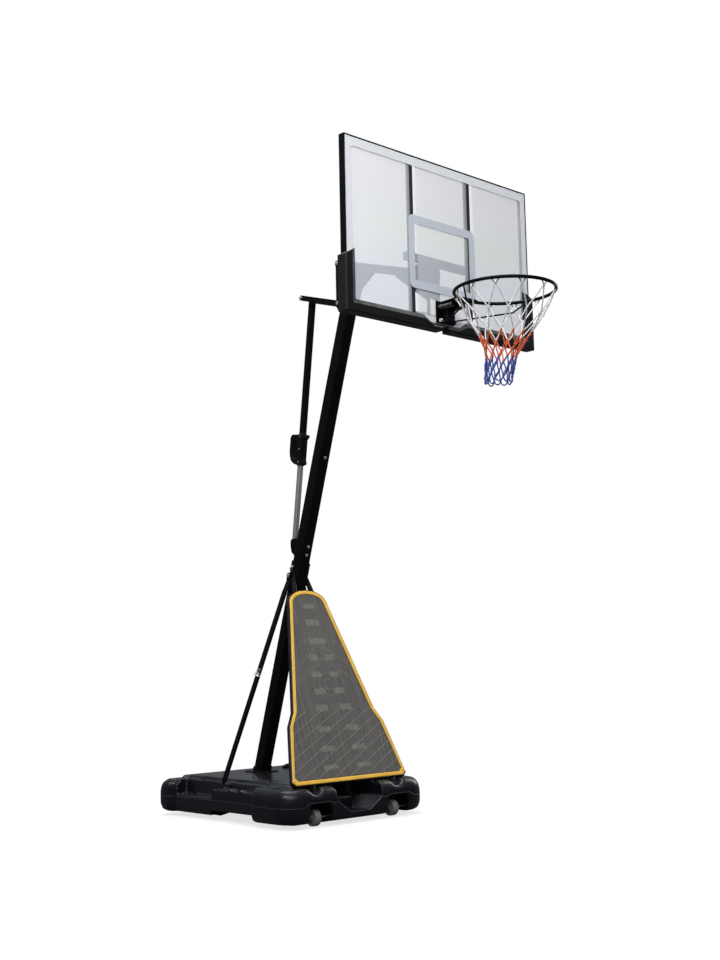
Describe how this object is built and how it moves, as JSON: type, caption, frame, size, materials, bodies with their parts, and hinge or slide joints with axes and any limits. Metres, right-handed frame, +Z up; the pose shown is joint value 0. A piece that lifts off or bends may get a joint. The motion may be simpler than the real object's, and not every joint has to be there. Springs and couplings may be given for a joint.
{
  "type": "basketball stand",
  "caption": "Portable basketball stand: ballast tank on small wheels, leaning pole with braces and front guard, folding lift arms, clear board, hinged rim and net.",
  "frame": {"origin": "centre of the base tank's footprint, on the floor", "axes": "+Z up, the board faces -Y, +X to the board's own left as seen from behind"},
  "size_m": [1.3, 2.3635, 3.1633],
  "materials": {
    "black_steel": "black powder coat",
    "bright_steel": "zinc-plated, slightly dull",
    "plated_steel": "zinc-plated tube",
    "black_plastic": "blow-moulded, fine grain",
    "moulded_black": "moulded, satin",
    "wheel_grey": "hard wheel plastic",
    "edge_pad": "soft foam skin",
    "clear_panel": "clear with printed border and target",
    "guard_yellow": "satin",
    "guard_grey": "satin, moulded relief",
    "net_cord": "braided cord, white, orange and blue"
  },
  "bodies": {
    "base": {"base_tank": "black_plastic", "brace_collar": "black_steel", "clevis_bolt_lower": "bright_steel", "clevis_bolt_upper": "bright_steel", "clevis_pin": "black_steel", "collar_bolt_front": "bright_steel", "collar_bolt_side": "bright_steel", "front_brace_left": "black_steel", "front_brace_right": "black_steel", "guard_band": "guard_yellow", "guard_insert": "guard_grey", "guard_panel": "black_plastic", "head_plate_left": "black_steel", "head_plate_right": "black_steel", "pivot_pin_lower": "bright_steel", "pivot_pin_upper": "bright_steel", "pole_collar": "black_steel", "pole_lower": "black_steel", "pole_middle": "black_steel", "pole_upper": "black_steel", "seam_bolt": "bright_steel", "side_brace_left": "black_steel", "side_brace_right": "black_steel", "strut_clevis": "black_steel", "wheel_axle_left": "bright_steel", "wheel_axle_right": "bright_steel"},
    "lower_arms": {"lower_arm_left": "black_steel", "lower_arm_right": "black_steel", "lever_bolt_left": "bright_steel", "lever_bolt_right": "bright_steel"},
    "upper_arms": {"upper_arm_left": "black_steel", "upper_arm_right": "black_steel"},
    "board": {"board_panel": "clear_panel", "frame_top": "black_steel", "frame_bottom": "black_steel", "frame_left": "black_steel", "frame_right": "black_steel", "rear_frame": "black_steel", "pad_left": "edge_pad", "pad_right": "edge_pad", "board_bracket_left": "black_steel", "board_bracket_right": "black_steel", "board_pin_lower": "bright_steel", "board_pin_upper": "bright_steel", "rim_mount": "black_steel", "rim_hinge_pin": "bright_steel"},
    "rim": {"rim_bracket": "black_steel", "spring_housing_left": "black_steel", "spring_housing_right": "black_steel", "rim_ring": "black_steel", "net": "net_cord"},
    "rod": {"strut_rod": "plated_steel"},
    "tube": {"strut_tube": "black_steel", "handle_body": "moulded_black", "trigger_pin": "bright_steel"},
    "trigger_lever": {"trigger": "moulded_black"},
    "left_wheel": {"wheel_left": "wheel_grey"},
    "right_wheel": {"wheel_right": "wheel_grey"},
    "cap": {"filler_cap": "moulded_black"},
    "plug": {"drain_plug": "moulded_black"}
  },
  "joints": [
    {"name": "height_adjust", "type": "hinge", "parent": "base", "child": "lower_arms", "pos_m": [0, -0.4898, 2.615], "axis": [-1, 0, 0], "range_deg": [0, 55]},
    {"name": "upper_arm_pivot", "type": "hinge", "parent": "base", "child": "upper_arms", "pos_m": [0, -0.4898, 2.825], "axis": [-1, 0, 0], "range_deg": [0, 55.5]},
    {"name": "board_pivot", "type": "hinge", "parent": "lower_arms", "child": "board", "pos_m": [0, -1.11297, 2.42329], "axis": [-1, 0, 0], "range_deg": [-55.5, 0]},
    {"name": "strut_swing", "type": "hinge", "parent": "base", "child": "rod", "pos_m": [0, -0.06291, 1.39], "axis": [1, 0, 0], "range_deg": [0, 3.39]},
    {"name": "strut_slide", "type": "slide", "parent": "rod", "child": "tube", "axis": [0, 0.1332, -0.9911], "range_m": [0, 0.2745]},
    {"name": "trigger_squeeze", "type": "hinge", "parent": "tube", "child": "trigger_lever", "pos_m": [0, -0.11384, 1.96181], "axis": [-1, 0, 0], "range_deg": [0, 5], "stiffness_Nm_per_rad": 12, "springref_deg": -2.86},
    {"name": "rim_flex", "type": "hinge", "parent": "board", "child": "rim", "pos_m": [0, -1.21497, 2.37979], "axis": [1, 0, 0], "range_deg": [0, 20], "stiffness_Nm_per_rad": 300, "springref_deg": -17.19},
    {"name": "wheel_left_spin", "type": "hinge", "parent": "base", "child": "left_wheel", "pos_m": [-0.26, -0.483, 0.042], "axis": [1, 0, 0], "continuous": true},
    {"name": "wheel_right_spin", "type": "hinge", "parent": "base", "child": "right_wheel", "pos_m": [0.26, -0.483, 0.042], "axis": [1, 0, 0], "continuous": true},
    {"name": "filler_cap_turn", "type": "hinge", "parent": "base", "child": "cap", "pos_m": [0.235, 0.3, 0.203], "axis": [0, 0, 1], "range_deg": [0, 450]},
    {"name": "drain_plug_turn", "type": "hinge", "parent": "base", "child": "plug", "pos_m": [-0.22, 0.5425, 0.09], "axis": [0, 1, 0], "range_deg": [0, 450]}
  ],
  "couplings": [
    {"joint": "upper_arm_pivot", "follows": "height_adjust", "ratio": 1},
    {"joint": "board_pivot", "follows": "height_adjust", "ratio": -1},
    {"joint": "strut_swing", "follows": "height_adjust", "ratio": 0.0599},
    {"joint": "strut_slide", "follows": "height_adjust", "m_per_rad": 0.2849}
  ]
}
